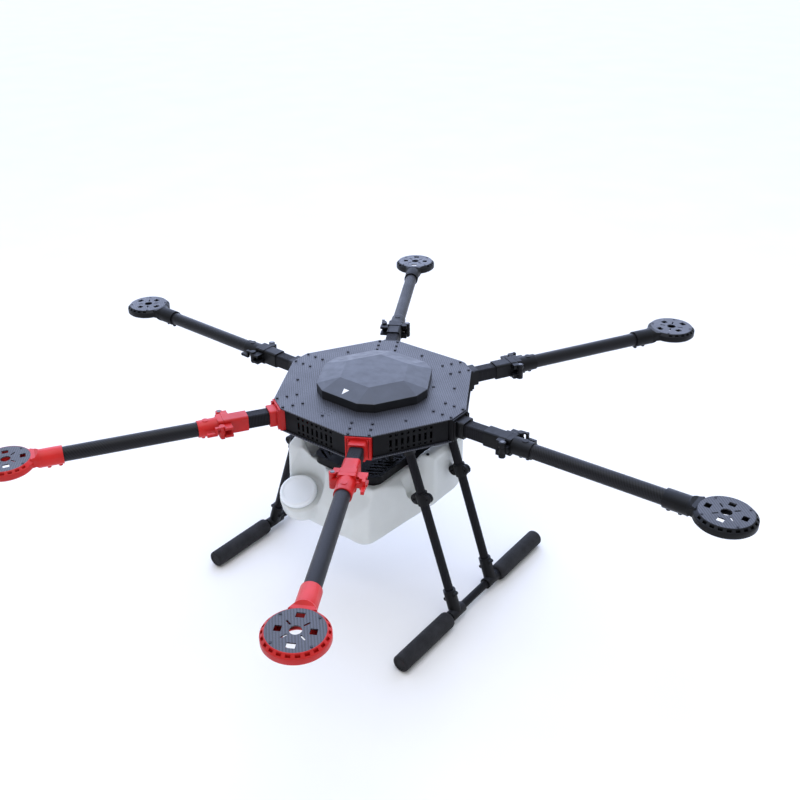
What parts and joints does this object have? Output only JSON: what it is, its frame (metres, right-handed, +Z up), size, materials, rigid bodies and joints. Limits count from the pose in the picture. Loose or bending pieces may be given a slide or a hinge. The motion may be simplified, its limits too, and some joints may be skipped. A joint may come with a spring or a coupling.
{
  "type": "agricultural spray drone",
  "caption": "Folding multi-arm spray drone airframe with a faceted dome, slung white liquid tank and skid landing gear, ready for motors.",
  "frame": {"origin": "on the ground, at the middle of the bounding box, which is the middle of the hub seen from above", "axes": "+X towards the arm on the craft's right-hand side, +Y towards the back, +Z up; the filler cap and the two red arms are at the front, -Y"},
  "size_m": [1.503, 1.3148, 0.453],
  "materials": {
    "carbon_plate": "carbon-fibre laminate with a fine plain weave under a thin clear coat",
    "carbon_tube": "matt twill-wrapped carbon-fibre tube",
    "red_fitting": "coral-red moulded nylon, satin",
    "black_fitting": "black moulded nylon, satin",
    "side_panel": "black sheet, satin",
    "dome_shell": "slate-grey satin moulding with a fine grain",
    "tank_shell": "translucent white blow-moulded polyethylene",
    "cap_plastic": "pale blue-white moulded plastic",
    "tray_plastic": "black moulding, fine grain",
    "foam": "closed-cell foam, dull",
    "screws": "black-oxide steel",
    "steel": "bare turned steel",
    "controller_case": "dark grey moulding",
    "circuit_board": "green solder mask"
  },
  "bodies": {
    "frame": {"top_plate": "carbon_plate", "bottom_plate": "carbon_plate", "side_panels": "side_panel", "hub_posts": "steel", "hub_screws": "screws", "dome_cover": "dome_shell", "flight_controller": "controller_case", "power_board": "circuit_board", "arm_sockets_red": "red_fitting", "arm_sockets_black": "black_fitting", "inner_tubes": "carbon_tube", "inner_joints_red": "red_fitting", "inner_joints_black": "black_fitting", "hinge_pins": "steel", "tray": "tray_plastic", "tray_hangers": "black_fitting", "tank": "tank_shell", "leg_mounts": "black_fitting", "leg_tubes": "carbon_tube", "leg_clamps": "black_fitting", "skid_tees": "black_fitting", "skid_rods": "carbon_tube", "skid_foams": "foam"},
    "arm_1": {"outer_joint_1": "black_fitting", "arm_tube_1": "carbon_tube", "motor_mount_1": "black_fitting", "motor_plate_1": "carbon_plate", "arm_screws_1": "screws"},
    "lever_1": {"lock_lever_1": "black_fitting"},
    "arm_2": {"outer_joint_2": "black_fitting", "arm_tube_2": "carbon_tube", "motor_mount_2": "black_fitting", "motor_plate_2": "carbon_plate", "arm_screws_2": "screws"},
    "lever_2": {"lock_lever_2": "black_fitting"},
    "arm_3": {"outer_joint_3": "black_fitting", "arm_tube_3": "carbon_tube", "motor_mount_3": "black_fitting", "motor_plate_3": "carbon_plate", "arm_screws_3": "screws"},
    "lever_3": {"lock_lever_3": "black_fitting"},
    "arm_4": {"outer_joint_4": "black_fitting", "arm_tube_4": "carbon_tube", "motor_mount_4": "black_fitting", "motor_plate_4": "carbon_plate", "arm_screws_4": "screws"},
    "lever_4": {"lock_lever_4": "black_fitting"},
    "arm_5": {"outer_joint_5": "red_fitting", "arm_tube_5": "carbon_tube", "motor_mount_5": "red_fitting", "motor_plate_5": "carbon_plate", "arm_screws_5": "screws"},
    "lever_5": {"lock_lever_5": "red_fitting"},
    "arm_6": {"outer_joint_6": "red_fitting", "arm_tube_6": "carbon_tube", "motor_mount_6": "red_fitting", "motor_plate_6": "carbon_plate", "arm_screws_6": "screws"},
    "lever_6": {"lock_lever_6": "red_fitting"},
    "cap": {"tank_cap": "cap_plastic"}
  },
  "joints": [
    {"name": "arm_fold_1", "type": "hinge", "parent": "frame", "child": "arm_1", "pos_m": [0.31194, -0.026, 0.40016], "axis": [-0.0195, 0, 0.9998], "range_deg": [-110, 0]},
    {"name": "arm_fold_2", "type": "hinge", "parent": "frame", "child": "arm_2", "pos_m": [0.17849, 0.25715, 0.40016], "axis": [-0.0098, -0.0169, 0.9998], "range_deg": [-110, 0]},
    {"name": "arm_fold_3", "type": "hinge", "parent": "frame", "child": "arm_3", "pos_m": [-0.13345, 0.28315, 0.40016], "axis": [0.0098, -0.0169, 0.9998], "range_deg": [-110, 0]},
    {"name": "arm_fold_4", "type": "hinge", "parent": "frame", "child": "arm_4", "pos_m": [-0.31194, 0.026, 0.40016], "axis": [0.0195, 0, 0.9998], "range_deg": [-110, 0]},
    {"name": "arm_fold_5", "type": "hinge", "parent": "frame", "child": "arm_5", "pos_m": [-0.17849, -0.25715, 0.40016], "axis": [0.0098, 0.0169, 0.9998], "range_deg": [-110, 0]},
    {"name": "arm_fold_6", "type": "hinge", "parent": "frame", "child": "arm_6", "pos_m": [0.13345, -0.28315, 0.40016], "axis": [-0.0098, 0.0169, 0.9998], "range_deg": [-110, 0]},
    {"name": "lever_turn_1", "type": "hinge", "parent": "arm_1", "child": "lever_1", "pos_m": [0.31794, 0.027, 0.40028], "axis": [-0.0195, 0, 0.9998], "range_deg": [0, 80]},
    {"name": "lever_turn_2", "type": "hinge", "parent": "arm_2", "child": "lever_2", "pos_m": [0.13559, 0.28884, 0.40028], "axis": [-0.0098, -0.0169, 0.9998], "range_deg": [0, 80]},
    {"name": "lever_turn_3", "type": "hinge", "parent": "arm_3", "child": "lever_3", "pos_m": [-0.18235, 0.26184, 0.40028], "axis": [0.0098, -0.0169, 0.9998], "range_deg": [0, 80]},
    {"name": "lever_turn_4", "type": "hinge", "parent": "arm_4", "child": "lever_4", "pos_m": [-0.31794, -0.027, 0.40028], "axis": [0.0195, 0, 0.9998], "range_deg": [0, 80]},
    {"name": "lever_turn_5", "type": "hinge", "parent": "arm_5", "child": "lever_5", "pos_m": [-0.13559, -0.28884, 0.40028], "axis": [0.0098, 0.0169, 0.9998], "range_deg": [0, 80]},
    {"name": "lever_turn_6", "type": "hinge", "parent": "arm_6", "child": "lever_6", "pos_m": [0.18235, -0.26184, 0.40028], "axis": [-0.0098, 0.0169, 0.9998], "range_deg": [0, 80]},
    {"name": "cap_turn", "type": "hinge", "parent": "frame", "child": "cap", "pos_m": [-0.092, -0.144, 0.21], "axis": [0.147, -0.342, 0.9281], "range_deg": [0, 360]}
  ],
  "couplings": [
    {"joint": "arm_fold_2", "follows": "arm_fold_1", "ratio": 1},
    {"joint": "arm_fold_3", "follows": "arm_fold_1", "ratio": 1},
    {"joint": "arm_fold_4", "follows": "arm_fold_1", "ratio": 1},
    {"joint": "arm_fold_5", "follows": "arm_fold_1", "ratio": 1},
    {"joint": "arm_fold_6", "follows": "arm_fold_1", "ratio": 1}
  ]
}
